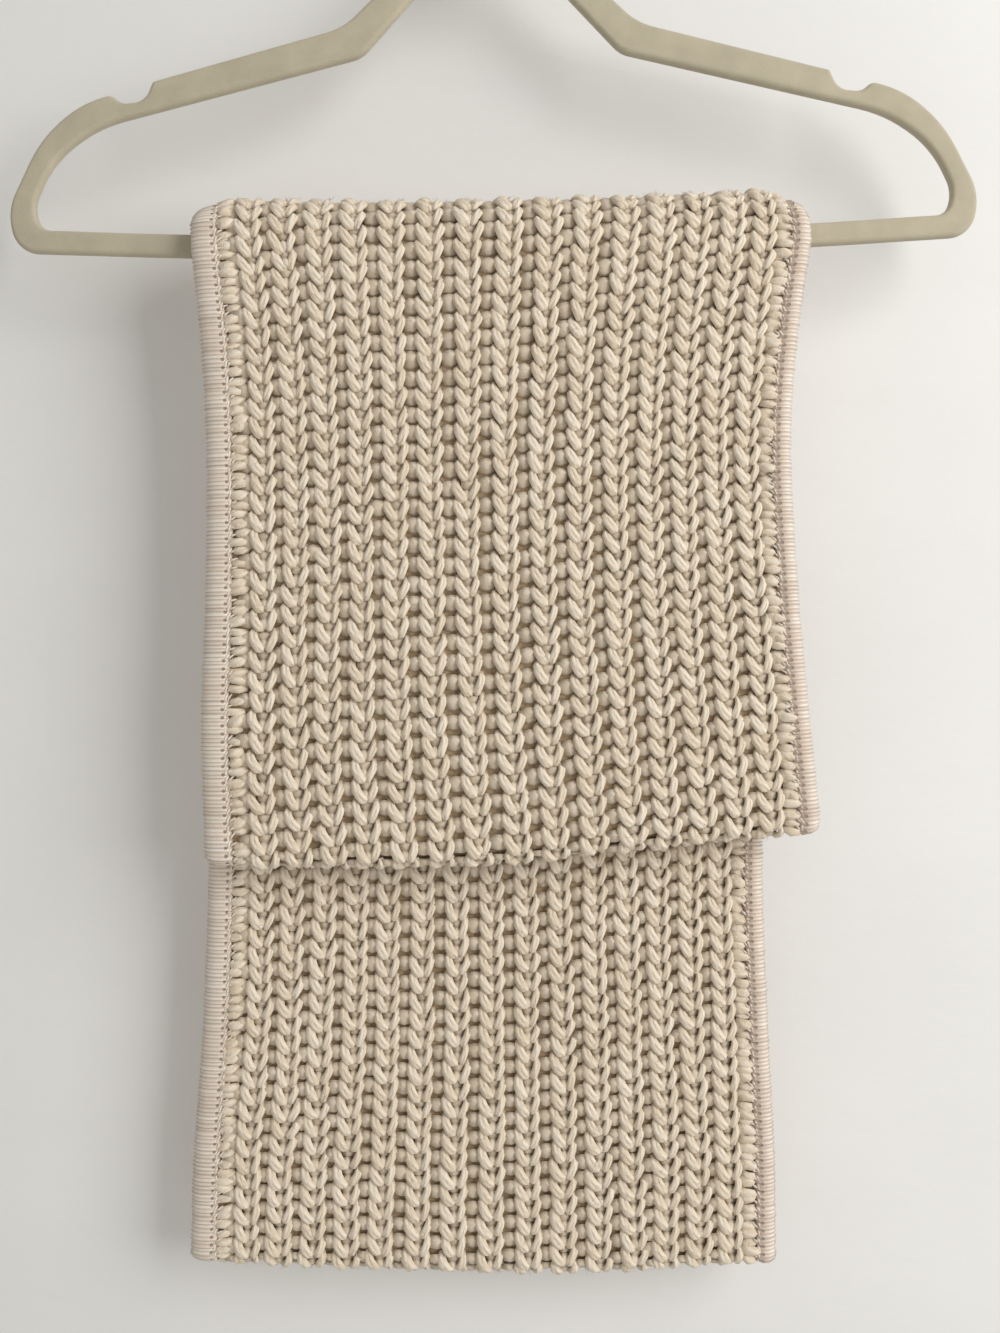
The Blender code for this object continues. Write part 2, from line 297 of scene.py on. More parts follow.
def crest(layer, share, x, across):
    """Over the bar, from the front to the back, and lower at the thin edges."""
    radius = CREST_RADIUS + DEPTH[layer]
    turn = math.pi * share
    inward = np.minimum(across, CUT_WIDTH - across)
    thin = np.clip(1.0 - inward / SQUEEZE_REACH, 0.0, 1.0)
    squeeze = np.where(across < CUT_WIDTH / 2, *SQUEEZE[layer])
    rise = radius - squeeze * thin * thin * (3 - 2 * thin)
    return -(radius + CREST_FLAT) * np.cos(turn), SPRING + bow(x) + rise * np.sin(turn)


def fold(side, share, x):
    """Round the foot of a drop, from its outer layer to its inner one."""
    turn = math.pi * share
    low = foot(side, x)
    middle = SIDE[side] * (gap(low) / 2 + WALL + SEAM / 2) + wave(side, x, low)
    return middle + SIDE[side] * FOLD_RADIUS * np.cos(turn), low - FOLD_RADIUS * np.sin(turn)


def drop_length(side):
    return SPRING - float(foot(side, 0.0))


def turn_length(radius):
    return math.pi * (radius + FACE)


# Every stretch in its order round the loop: the share at its start and end, and its length.
Stretch = namedtuple("Stretch", "kind side layer start end length")
LOOP = [
    Stretch("fold", "front", None, 1.0, 0.0, turn_length(FOLD_RADIUS)),
    Stretch("drop", "front", "outer", 1.0, 0.0, drop_length("front")),
    Stretch("crest", None, "outer", 0.0, 1.0, turn_length(CREST_RADIUS + DEPTH["outer"])),
    Stretch("drop", "back", "outer", 0.0, 1.0, drop_length("back")),
    Stretch("fold", "back", None, 0.0, 1.0, turn_length(FOLD_RADIUS)),
    Stretch("drop", "back", "inner", 1.0, 0.0, drop_length("back")),
    Stretch("crest", None, "inner", 1.0, 0.0, turn_length(CREST_RADIUS + DEPTH["inner"])),
    Stretch("drop", "front", "inner", 0.0, 1.0, drop_length("front")),
]
STARTS = np.concatenate(([0.0], np.cumsum([stretch.length for stretch in LOOP])))
LOOP_LENGTH = float(STARTS[-1])
FRONT_START, CREST_START, BACK_START, BACK_FOLD, INSIDE_START = STARTS[1:6]
FRONT_LENGTH = CREST_START - FRONT_START
LEAD_IN = 60.0 * MM  # rows are counted from this far before the loop's start
ROW_SPREAD = 0.07  # rows lie closer together over the bar than at the hem
ROW_SLOPE = 0.1  # the rows climb to the right
ROW_SWELL = 2.6 * MM  # and swing up and down by this much
SWELL_LENGTH = 31.0 * MM


def corner_pull(stretch, share, across):
    """How far the cloth is drawn sideways near the bar, which rounds its upper corners."""
    if stretch.kind == "fold":
        return 0.0
    if stretch.kind == "crest":
        high = CORNER_SHARE + (1 - CORNER_SHARE) * np.sin(math.pi * share)
    else:
        below = SPRING - drop(stretch.side, stretch.layer, share, 0.0)[1]
        high = CORNER_SHARE * np.clip(1 - below / CORNER_DROP, 0.0, 1.0) ** 2
    left, right = CORNER_PULL[stretch.layer]
    near_left = np.clip(1 - across / CORNER_REACH, 0.0, 1.0) ** 1.5
    near_right = np.clip(1 - (CUT_WIDTH - across) / CORNER_REACH, 0.0, 1.0) ** 1.5
    return high * (left * near_left - right * near_right)


def stretch_point(stretch, share, across):
    """Points on one stretch, from shares along it and places across the loop."""
    kind, side, layer = stretch[:3]
    if kind == "crest":
        left, right = (
            between(EDGES["front"], SPRING, name) * (1 - share)
            + between(EDGES["back"], SPRING, name) * share
            for name in ("left", "right")
        )
    else:
        level = foot(side, 0.0) if kind == "fold" else drop(side, layer, share, 0.0)[1]
        left, right = (between(EDGES[side], level, name) for name in ("left", "right"))
    inner = share if kind == "fold" else float(layer == "inner")
    left, right = left + INSET * inner, right - INSET * inner
    x = left + (right - left) * across / CUT_WIDTH + corner_pull(stretch, share, across)
    if kind == "crest":
        y, z = crest(layer, share, x, across)
    elif kind == "fold":
        y, z = fold(side, share, x)
    else:
        y, z = drop(side, layer, share, x)
    return np.stack([x, y, z], axis=-1)


def cloth_middle(across, along):
    along = np.mod(along, LOOP_LENGTH)
    which = np.clip(np.searchsorted(STARTS, along, side="right") - 1, 0, len(LOOP) - 1)
    points = np.empty((len(along), 3))
    for k, stretch in enumerate(LOOP):
        here = which == k
        if here.any():
            share = (along[here] - STARTS[k]) / stretch.length
            share = stretch.start + (stretch.end - stretch.start) * share
            points[here] = stretch_point(stretch, share, across[here])
    return points


def on_cloth(local):
    """Moves (across, along, height) points onto the face of the cloth."""
    across, along, height = local.reshape(-1, 3).T
    step = 0.2 * MM
    rise = cloth_middle(across, along + step) - cloth_middle(across, along - step)
    run = cloth_middle(across + step, along) - cloth_middle(across - step, along)
    normal = np.cross(run, rise)
    normal /= np.linalg.norm(normal, axis=1, keepdims=True)
    return cloth_middle(across, along) + normal * height[:, None]


def rib_middle(rib):
    """Where a rib lies across the loop; half numbers are the recesses beside it."""
    share = np.asarray(rib) / (RIBS - 1)
    share = share - RIB_SPREAD * np.sin(2 * math.pi * share)
    return FIRST_RIB + (LAST_RIB - FIRST_RIB) * share


def from_edge(hand, inward):
    """The place across the loop that lies this far inside one of its edges."""
    return inward if hand == "left" else CUT_WIDTH - inward


# Small tools --------------------------------------------------------------------------


def deselect_all():
    for one in list(bpy.context.selected_objects):
        one.select_set(False)


def floats(values):
    return np.ascontiguousarray(values, dtype=np.float32).ravel()


def mesh_piece(name, points, loops, sizes, finish, uvs=None, **marks):
    """An object from arrays, smooth, with its own UV map and one number a point for each mark."""
    mesh = bpy.data.meshes.new(name)
    mesh.vertices.add(len(points))
    mesh.vertices.foreach_set("co", floats(points))
    mesh.loops.add(len(loops))
    mesh.loops.foreach_set("vertex_index", np.ascontiguousarray(loops, dtype=np.int32))
    mesh.polygons.add(len(sizes))
    starts = np.concatenate(([0], np.cumsum(sizes)[:-1])).astype(np.int32)
    mesh.polygons.foreach_set("loop_start", starts)
    mesh.update(calc_edges=True)
    if uvs is not None:
        mesh.uv_layers.new(name="yarn").data.foreach_set("uv", floats(uvs))
    for mark, values in marks.items():
        mesh.attributes.new(mark, "FLOAT", "POINT").data.foreach_set("value", floats(values))
    if mesh.validate():
        raise RuntimeError(f"{name} has faulty faces")
    mesh.shade_smooth()
    mesh.materials.append(finish)
    piece = bpy.data.objects.new(name, mesh)
    bpy.context.scene.collection.objects.link(piece)
    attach(piece, "root")
    return piece


def tube_corners(rings, sides):
    """The ring and the side of each corner of each face, on a tube that closes on itself.

    The last faces' rings are numbered on past the last one.
    """
    ring, side = np.meshgrid(np.arange(rings), np.arange(sides), indexing="ij")
    return (
        np.stack([ring, ring, ring + 1, ring + 1], axis=-1),
        np.stack([side, side + 1, side + 1, side], axis=-1) % sides,
    )


# The hanger ---------------------------------------------------------------------------


def rounded(corners):
    """The corners' outline in metres, with an arc of its own radius at each."""
    places = [np.array((corner.x, corner.z)) * MM for corner in corners]
    points = []
    for k, (here, corner) in enumerate(zip(places, corners, strict=True)):
        if corner.radius == 0.0:
            points.append(here)
            continue
        arms = [near - here for near in (places[k - 1], places[k + 1])]
        arms = [arm / np.linalg.norm(arm) for arm in arms]
        half = math.acos(float(np.dot(*arms))) / 2
        radius = corner.radius * MM
        bisector = arms[0] + arms[1]
        centre = here + bisector / np.linalg.norm(bisector) * radius / math.sin(half)
        first, last = (here + arm * radius / math.tan(half) - centre for arm in arms)
        turn = math.pi - 2 * half
        steps = max(3, math.ceil(turn / ARC_STEP))
        for share in np.linspace(0.0, 1.0, steps + 1):
            spoke = first * math.sin((1 - share) * turn) + last * math.sin(share * turn)
            points.append(centre + spoke / math.sin(turn))
    return points


def outline(corners, bar_height):
    """A closed outline: its right half with the bowed bar, then the same points mirrored."""
    reach = corners[-1].x * MM
    bar = [(x, bar_height + bow(x)) for x in np.linspace(reach, 0.0, BAR_STEPS + 1)[1:]]
    right = [tuple(point) for point in rounded(corners)] + bar
    return [(x, z, 0.0) for x, z in right + [(-x, z) for x, z in reversed(right[1:-1])]]


def arc(centre, radius, start, end):
    """Points round part of a circle, without its first one."""
    steps = math.ceil(abs(end - start) / ARC_STEP)
    turns = np.linspace(start, end, steps + 1)[1:]
    return [(centre[0] + radius * math.cos(t), centre[1] + radius * math.sin(t)) for t in turns]


def add_line(curve, points, closed):
    spline = curve.splines.new("POLY")
    spline.points.add(len(points) - 1)
    for target, place in zip(spline.points, points, strict=True):
        target.co = (*place, 1.0)
    spline.use_cyclic_u = closed
    return spline


def solid_of(curve, turned):
    """The curve's closed mesh, turned into its place, with smooth rounded edges."""
    deselect_all()
    piece = bpy.data.objects.new(curve.name, curve)
    bpy.context.scene.collection.objects.link(piece)
    piece.rotation_euler = turned
    piece.select_set(True)
    bpy.context.view_layer.objects.active = piece
    bpy.ops.object.convert(target="MESH")
    bpy.ops.object.transform_apply(location=False, rotation=True, scale=False)
    bpy.ops.object.mode_set(mode="EDIT")
    bpy.ops.mesh.select_all(action="SELECT")
    bpy.ops.mesh.remove_doubles(threshold=0.01 * MM)
    bpy.ops.mesh.normals_make_consistent(inside=False)
    bpy.ops.object.mode_set(mode="OBJECT")
    bpy.ops.object.shade_smooth_by_angle(angle=math.radians(35))
    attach(piece, "root")
    return piece


# Yarn ---------------------------------------------------------------------------------

Strand = namedtuple("Strand", "ring angle faces")
Template = namedtuple("Template", "points loops sizes uvs")


def in_order(face):
    """The same face from its lowest corner on, because edit mode starts it at any of them."""
    first = face.index(min(face))
    return face[first:] + face[:first]


def straight_strand(rings, sides):
    """A straight closed strand, extruded ring by ring in edit mode and read as rings and angles."""
    deselect_all()
    bpy.ops.mesh.primitive_circle_add(vertices=sides, radius=1.0, fill_type="NGON")
    bpy.ops.object.mode_set(mode="EDIT")
    bpy.ops.mesh.select_all(action="SELECT")
    for _ in range(rings - 1):
        bpy.ops.mesh.extrude_region_move(TRANSFORM_OT_translate={"value": (0.0, 0.0, 1.0)})
    bpy.ops.mesh.select_all(action="SELECT")
    bpy.ops.mesh.normals_make_consistent(inside=False)
    bpy.ops.object.mode_set(mode="OBJECT")
    model = bpy.context.object
    places = np.array([vertex.co for vertex in model.data.vertices])
    faces = [in_order(list(face.vertices)) for face in model.data.polygons]
    bpy.data.objects.remove(model)
    ring = np.rint(places[:, 2]).astype(int)
    return Strand(ring, np.arctan2(places[:, 1], places[:, 0]), sorted(faces))


def ply_along(strand, knots, phase, twist, apart, radius, flat=1.0):
    """One ply of a yarn on a route, with its UV: millimetres along it and turns round it.

    flat is the share of its width that the ply is high.
    """
    route = np.array(knots)
    centre, width = route[:, :3], route[:, 3]
    ahead = np.gradient(centre, axis=0)
    ahead /= np.linalg.norm(ahead, axis=1, keepdims=True)
    up = np.array([0.0, 0.0, 1.0]) - ahead * ahead[:, 2:3]
    up /= np.linalg.norm(up, axis=1, keepdims=True)
    side = np.cross(up, ahead)
    share = np.arange(len(knots)) / (len(knots) - 1)
    turn = phase + twist * (share - 0.5)
    shift = (np.cos(turn)[:, None] * side + np.sin(turn)[:, None] * up) * width[:, None] * apart
    ring = strand.ring
    reach = width[ring, None] * radius
    points = centre[ring] + shift[ring] + reach * (
        np.cos(strand.angle)[:, None] * side[ring] + np.sin(strand.angle)[:, None] * up[ring] * flat
    )
    walked = np.concatenate(([0.0], np.cumsum(np.linalg.norm(np.diff(centre, axis=0), axis=1))))
    loops, sizes, uvs = [], [], []
    for face in strand.faces:
        angles = strand.angle[face]
        middle = math.atan2(np.sin(angles).sum(), np.cos(angles).sum())
        near = middle + (angles - middle + math.pi) % (2 * math.pi) - math.pi
        uvs.extend(zip(walked[ring[face]], near / (2 * math.pi) + phase))
        loops.extend(face)
        sizes.append(len(face))
    return Template(points, np.array(loops), np.array(sizes), np.array(uvs))


def single(knots, sides, flat=1.0):
    return ply_along(straight_strand(len(knots), sides), knots, 0.0, 0.0, 0.0, 0.5, flat)


def plied(knots, sides, phase, twist):
    """A yarn of two plies, laid round each other, along a route."""
    strand = straight_strand(len(knots), sides)
    one, other = (
        ply_along(strand, knots, phase + turn, twist, PLY_APART, PLY_RADIUS)
        for turn in (0.0, math.pi)
    )
    other = other._replace(loops=other.loops + len(one.points))
    return Template(*(np.concatenate(both) for both in zip(one, other)))


def mirrored(template):
    """The same stitch the other way round, its faces turned to keep pointing out."""
    ends = np.cumsum(template.sizes)
    order = np.concatenate(
        [np.arange(end - size, end)[::-1] for end, size in zip(ends, template.sizes)]
    )
    points = template.points * (-1.0, 1.0, 1.0)
    return Template(points, template.loops[order], template.sizes, template.uvs[order])


def lay_stitches(name, laid, finish):
    """Copies of templates on the cloth, as one piece.

    laid is a list of (template, places, sunk): places has a row for each copy, and sunk is
    painted shade: how far its colour is darkened for the light taken by the ribs beside it, from 0
    to 1.
    """
    parts, start = [], 0
    for template, places, sunk in laid:
        count, size = len(places), len(template.points)
        if count == 0:
            continue
        shape = template.points[None] * MM * places[:, None, SCALES]
        lean = places[:, LEAN, None]
        across = shape[:, :, 0] * np.cos(lean) - shape[:, :, 1] * np.sin(lean)
        along = shape[:, :, 0] * np.sin(lean) + shape[:, :, 1] * np.cos(lean)
        local = np.stack([across, along, shape[:, :, 2]], axis=-1) + places[:, None, :3]
        loops = template.loops[None] + (start + np.arange(count)[:, None] * size)
        uvs = template.uvs[None] + places[:, TONE, None, None] * UV_SHIFT
        # Painted shade for every point, from its copy's sunk share.
        tones, painted_shades = np.repeat(places[:, TONE], size), np.full(count * size, sunk)
        sizes = np.tile(template.sizes, count)
        parts.append((on_cloth(local), loops.ravel(), sizes, uvs.reshape(-1, 2), tones, painted_shades))
        start += count * size
    points, loops, sizes, uvs, tone, sunk = (np.concatenate(part) for part in zip(*parts))
    return mesh_piece(name, points, loops, sizes, finish, uvs, tone=tone, sunk=sunk)


def row_places(pitch, across):
    """Where the rows of stitches lie along one rib, all the way round the loop."""
    fine = np.linspace(-LEAD_IN, LOOP_LENGTH, 4000)
    local = pitch * (1 + ROW_SPREAD * np.cos(math.pi * (fine - FRONT_START) / FRONT_LENGTH))
    count = np.concatenate(([0.0], np.cumsum(np.diff(fine) / local[:-1])))
    rise = ROW_SLOPE * (across - CUT_WIDTH / 2) + ROW_SWELL * math.sin(across / SWELL_LENGTH)
    shift = rise / pitch
    rows = np.arange(math.ceil(count[0] + 1 - shift), math.floor(count[-1] - shift))
    return np.interp(rows + shift, count, fine)


def ripple(along, across, far, length, width):
    return far * MM * np.sin(along / (length * MM) + across / (width * MM))


def stitch_places(columns, start, end, pitch, seed, ahead, loose):
    """Rows of (across, along, height, three scales, lean, tone) for a stretch of the loop.

    ahead moves the stitches along the rib by a share of a row, and loose says how far they
    stray from their places.
    """
    draw = np.random.default_rng(seed)
    rows = []
    for across in columns:
        along = row_places(pitch, across) + ahead * pitch
        along = along + ripple(along, across, *ROW_RIPPLE)
        place = across
        for each in RIB_RIPPLES:
            place = place + ripple(along, across, *each)
        lean = -np.gradient(place, along)
        for a, s, turn in zip(place, along, lean, strict=True):
            stray = STRAY * (draw.normal(size=len(STRAY)) * loose)
            if start <= s < end:
                rows.append((*(stray + (a, s, 0.0, 1.0, 1.0, 1.0, turn)), draw.random()))
    return np.array(rows).reshape(-1, len(STRAY) + 1)


# Materials ----------------------------------------------------------------------------


class Wiring:
    """Adds nodes to a tree and links them, so that a material reads from top to bottom."""

    def __init__(self, tree):
        self.tree = tree

    def feed(self, socket, source):
        if isinstance(source, bpy.types.NodeSocket):
            self.tree.links.new(source, socket)
        else:
            socket.default_value = source

    def node(self, kind, inputs=(), **values):
        """A node with its settings, and its inputs fed by their names or numbers."""
        made = self.tree.nodes.new(kind)
        for key, value in values.items():
            setattr(made, key, value)
        for key, source in dict(inputs).items():
            self.feed(made.inputs[key], source)
        return made

    def place(self):
        return self.node("ShaderNodeTexCoord").outputs["Object"]

    def on_strand(self):
        return self.node("ShaderNodeUVMap", uv_map="yarn").outputs[0]

    def mark(self, name):
        return self.node("ShaderNodeAttribute", attribute_name=name).outputs["Fac"]

    def split(self, vector):
        return self.node("ShaderNodeSeparateXYZ", {0: vector}).outputs[:2]

    def join(self, *sources):
        return self.node("ShaderNodeCombineXYZ", enumerate(sources)).outputs[0]

    def math(self, operation, *sources):
        return self.node("ShaderNodeMath", enumerate(sources), operation=operation).outputs[0]

    def mix(self, factor, first, second):
        inputs = {0: factor, 6: first, 7: second}
        return self.node("ShaderNodeMix", inputs, data_type="RGBA").outputs[2]

    def ramp(self, *sources):
        """From its source: 0 to 1 between two values, or between two more that are given."""
        kind = "SMOOTHSTEP"
        made = self.node("ShaderNodeMapRange", enumerate(sources), interpolation_type=kind)
        return made.outputs[0]

    def noise(self, vector, scale, detail=2.0, roughness=0.5):
        inputs = {"Vector": vector, "Scale": scale, "Detail": detail, "Roughness": roughness}
        return self.node("ShaderNodeTexNoise", inputs).outputs["Fac"]

    def dress(self, shader, colour, height, distance):
        """Gives the shader its colour, and a height that the light shows as bumps."""
        bump = self.node("ShaderNodeBump", {"Distance": distance, "Height": height})
        self.feed(shader.inputs["Base Color"], colour)
        self.feed(shader.inputs["Normal"], bump.outputs["Normal"])


def rgba(colour, share=1.0):
    """A colour for a socket, darker or lighter by a share."""
    return (*(min(value * share, 1.0) for value in colour), 1.0)


def new_material(name, colour, roughness, **sockets):
    """A node material with its Principled shader, and the constant values on its sockets."""
    made = bpy.data.materials.new(name)
    made.use_nodes = True
    made.diffuse_color = rgba(colour)
    shader = made.node_tree.nodes["Principled BSDF"]
    shader.inputs["Roughness"].default_value = roughness
    for socket, value in sockets.items():
        shader.inputs[socket.replace("_", " ")].default_value = value
    return made, Wiring(made.node_tree), shader


def fibre_group():
    """Spun fibres on a strand: a colour and a height from the strand's own UV and tone."""
    name = "Spun Fibres"
    if name in bpy.data.node_groups:
        return bpy.data.node_groups[name]
    tree = bpy.data.node_groups.new(name, "ShaderNodeTree")
    for label, kind, way in (
        ("Strand", "Vector", "INPUT"),
        ("Light", "Color", "INPUT"),
        ("Dark", "Color", "INPUT"),
        ("Tone", "Float", "INPUT"),
        ("Threads", "Float", "INPUT"),
        ("Twist", "Float", "INPUT"),
        ("Color", "Color", "OUTPUT"),
        ("Height", "Float", "OUTPUT"),
    ):
        tree.interface.new_socket(name=label, in_out=way, socket_type=f"NodeSocket{kind}")
    wire = Wiring(tree)
    given = wire.node("NodeGroupInput").outputs
    along, around = wire.split(given["Strand"])
    lay = wire.math("MULTIPLY", along, given["Twist"])
    turns = wire.math("ADD", wire.math("MULTIPLY", around, given["Threads"]), lay)
    stretched = wire.math("MULTIPLY", along, 0.55)
    streaks = wire.join(stretched, wire.math("MULTIPLY", turns, 2.2), given["Tone"])
    streaks = wire.noise(streaks, 1.6, 3.0, 0.6)
    wobble = wire.math("MULTIPLY", wire.math("SUBTRACT", streaks, 0.5), 0.9)
    phase = wire.math("MULTIPLY", wire.math("ADD", turns, wobble), 2 * math.pi)
    ridge = wire.math("MULTIPLY_ADD", wire.math("SINE", phase), 0.5, 0.5)
    height = wire.math("MULTIPLY_ADD", streaks, 0.9, wire.math("MULTIPLY", ridge, 0.6))
    # Painted shade: the colour is darker in the grooves between the threads, and the fibre streaks
    # and the tone vary it at random.
    shade = wire.math("MULTIPLY_ADD", ridge, 0.55, wire.math("MULTIPLY", streaks, 0.6))
    off_tone = wire.math("SUBTRACT", given["Tone"], 0.5)
    shade = wire.math("ADD", shade, wire.math("MULTIPLY", off_tone, 0.5))
    colour = wire.mix(wire.ramp(shade, 0.05, 0.95), given["Dark"], given["Light"])
    wire.node("NodeGroupOutput", {"Color": colour, "Height": height})
    return tree


def strand_material(name, light, dark, threads, twist, roughness, sheen, depth):
    """A yarn or thread: spun fibres along it, a slow change of shade, and a soft nap."""
    made, wire, shader = new_material(
        name, light, roughness, Sheen_Weight=sheen, Sheen_Roughness=0.45, Specular_IOR_Level=0.2
    )
    shader.inputs["Sheen Tint"].default_value = (1.0, 0.95, 0.86, 1.0)
    inputs = {
        "Strand": wire.on_strand(),
        "Light": rgba(light),
        "Dark": rgba(dark),
        "Tone": wire.mark("tone"),
        "Threads": threads,
        "Twist": twist,
    }
    fibres = wire.node("ShaderNodeGroup", node_tree=fibre_group())
    for key, source in inputs.items():
        wire.feed(fibres.inputs[key], source)
    patches = wire.ramp(wire.noise(wire.place(), 26.0, 3.0), 0.35, 0.7, 0.0, 0.22)
    colour = wire.mix(patches, fibres.outputs["Color"], rgba(dark))
    # Painted shade: the sunk mark darkens the colour towards a darker copy of the dark yarn.
    colour = wire.mix(wire.mark("sunk"), colour, rgba(dark, 0.76))
    wire.dress(shader, colour, fibres.outputs["Height"], depth)
    return made


def yarn_material(settings):
    return bpy.data.materials.get("oat_yarn") or strand_material(
        "oat_yarn", settings.yarn_light, settings.yarn_dark, 3.0, 0.11, 0.92, 0.35, 0.3 * MM
    )


def needle_material(settings):
    return bpy.data.materials.get("needle_thread") or strand_material(
        "needle_thread", settings.thread_light, settings.thread_dark, 2.0, 0.5, 0.6, 0.15, 0.1 * MM
    )


def ground_material(settings):
    # Painted shade: the ground is coloured much darker than the yarn, for the shade in the gaps
    # between the stitches.
    ground = settings.ground_shade_colour
    made, wire, shader = new_material(
        "yarn_in_the_shade", ground, 0.95, Sheen_Weight=0.1, Specular_IOR_Level=0.1
    )
    strands = wire.noise(wire.place(), 420.0, 3.0, 0.6)
    colour = wire.mix(wire.ramp(strands, 0.3, 0.7), rgba(ground, 0.6), rgba(ground))
    wire.dress(shader, colour, strands, 0.8 * MM)
    return made


def overlock_material(settings):
    """Sewing thread over the edge: ridges from the mesh, needle holes and sheen from the UV."""
    light, dark, pitch = settings.thread_light, settings.thread_dark, settings.needle_pitch / MM
    made, wire, shader = new_material(
        "edge_thread", light, 0.62, Sheen_Weight=0.15, Specular_IOR_Level=0.35
    )
    along, outside = wire.split(wire.on_strand())
    spun = wire.join(wire.math("MULTIPLY", along, 2.5), wire.math("MULTIPLY", outside, 0.5))
    fibres = wire.noise(spun, 1.0)
    tone = wire.math("MULTIPLY", wire.mark("tone"), 0.3)
    shade = wire.math("ADD", tone, wire.math("MULTIPLY", fibres, 0.5))
    colour = wire.mix(wire.ramp(shade, 0.1, 0.8), rgba(dark), rgba(light))
    # Painted shade: the valleys between the threads are darkened.
    valley = wire.ramp(wire.mark("valley"), 0.12, 0.85, 0.0, 0.75)
    colour = wire.mix(valley, colour, rgba(dark, 0.55))
    # The threads beside the knit are tinted towards the darker, pinker blush colour.
    blush = wire.mark("blush")
    near_knit = wire.math("MULTIPLY", wire.ramp(outside, 1.5, 5.5, 0.7, 0.0), blush)
    colour = wire.mix(near_knit, colour, rgba(settings.thread_blush))
    beat = wire.math("FRACT", wire.math("DIVIDE", along, pitch))
    off_beat = wire.math("MULTIPLY", wire.math("SUBTRACT", beat, 0.5), pitch)
    off_line = wire.math("SUBTRACT", outside, 1.5)
    square = wire.math("MULTIPLY", off_beat, off_beat)
    far = wire.math("SQRT", wire.math("MULTIPLY_ADD", off_line, off_line, square))
    hole = wire.ramp(far, 0.45, 0.95, 1.0, 0.0)
    seen = wire.math("MULTIPLY", hole, wire.math("MULTIPLY_ADD", blush, -0.45, 0.85))
    # Painted shade: the needle holes are painted dark brown, for the shade inside them.
    colour = wire.mix(seen, colour, (0.2, 0.14, 0.095, 1.0))
    height = wire.math("SUBTRACT", wire.math("MULTIPLY", fibres, 0.4), hole)
    wire.dress(shader, colour, height, 0.4 * MM)
    return made


def flocked_material(settings):
    """Short dense flock: a fine nap, faint brushed patches, and a soft rim of light."""
    flock = settings.flock_colour
    made, wire, shader = new_material(
        "velvet_flock",
        flock,
        0.9,
        Sheen_Weight=0.55,
        Sheen_Roughness=0.35,
        Specular_IOR_Level=0.15,
    )
    shader.inputs["Sheen Tint"].default_value = (1.0, 0.97, 0.88, 1.0)
    place = wire.place()
    nap = wire.noise(place, 2600.0, 2.0, 0.6)
    brushed = wire.noise(place, 70.0, 4.0, 0.55)
    colour = wire.mix(wire.ramp(brushed, 0.3, 0.7), rgba(flock, 0.93), rgba(flock, 1.05))
    colour = wire.mix(wire.ramp(nap, 0.3, 0.75, 0.35, 0.0), colour, rgba(flock, 0.93))
    height = wire.math("ADD", nap, wire.math("MULTIPLY", brushed, 0.6))
    wire.dress(shader, colour, height, 0.35 * MM)
    return made


def hook_material(settings):
    """Plated wire with faint drawing lines and dull patches."""
    plate = settings.wire_colour
    made, wire, shader = new_material("plated_wire", plate, 0.28, Metallic=1.0)
    place = wire.place()
    dull = wire.noise(place, 60.0, 3.0)
    colour = wire.mix(wire.ramp(dull, 0.35, 0.7), rgba(plate, 0.85), rgba(plate))
    wire.feed(shader.inputs["Roughness"], wire.ramp(dull, 0.3, 0.75, 0.24, 0.34))
    wire.dress(shader, colour, wire.noise(place, 900.0), 0.004 * MM)
    return made


def wall_material(settings):
    """Matt emulsion with a faint roller texture, clear when it is seen from behind."""
    paint = settings.wall_colour
    made, wire, shader = new_material("pale_wall", paint, 0.85)
    place = wire.place()
    mottle = wire.noise(place, 22.0, 4.0, 0.6)
    grain = wire.noise(place, 380.0, 3.0, 0.6)
    colour = wire.mix(wire.ramp(mottle, 0.3, 0.7), rgba(paint, 0.97), rgba(paint))
    height = wire.math("ADD", mottle, wire.math("MULTIPLY", grain, 0.35))
    wire.dress(shader, colour, height, 0.6 * MM)
    behind = wire.node("ShaderNodeNewGeometry").outputs["Backfacing"]
    clear = wire.node("ShaderNodeBsdfTransparent").outputs[0]
    both = wire.node("ShaderNodeMixShader", {0: behind, 1: shader.outputs[0], 2: clear})
    wire.feed(made.node_tree.nodes["Material Output"].inputs[0], both.outputs[0])
    return made


# Settings -----------------------------------------------------------------------------


def length_prop(name, description, default):
    return FloatProperty(
        name=name, description=description, default=default, min=0.0, unit="LENGTH", precision=5
    )


def colour_prop(name, description, default):
    return FloatVectorProperty(
        name=name, description=description, default=default, min=0.0, max=1.0, subtype="COLOR"
    )


def power_prop(name, description, default):
    return FloatProperty(name=name, description=description, default=default, unit="POWER")


class KnitSettings(bpy.types.PropertyGroup):
    """Sizes and colours of the knit."""

    row_pitch: length_prop("Row pitch", "From one row of stitches to the next", 8.65 * MM)
    inside_reach: length_prop(
        "Inside reach", "Stitches inside the long drop, above the short hem", 45.0 * MM
    )
    fuzz_count: IntProperty(
        name="Fuzz", description="Fibre ends of each form on a metre of the loop", default=2300
    )
    yarn_light: colour_prop("Yarn light", "The yarn where it is palest", (0.88, 0.79, 0.662))
    # yarn_dark is also the painted shade in the grooves between the threads, and, darker still, on
    # sunk stitches.
    yarn_dark: colour_prop("Yarn dark", "The yarn between its fibres", (0.745, 0.625, 0.475))
    # Painted shade: darker than the yarn, for the shade in the gaps between the stitches.
    ground_shade_colour: colour_prop("Ground", "The cloth behind the stitches", (0.52, 0.385, 0.24))


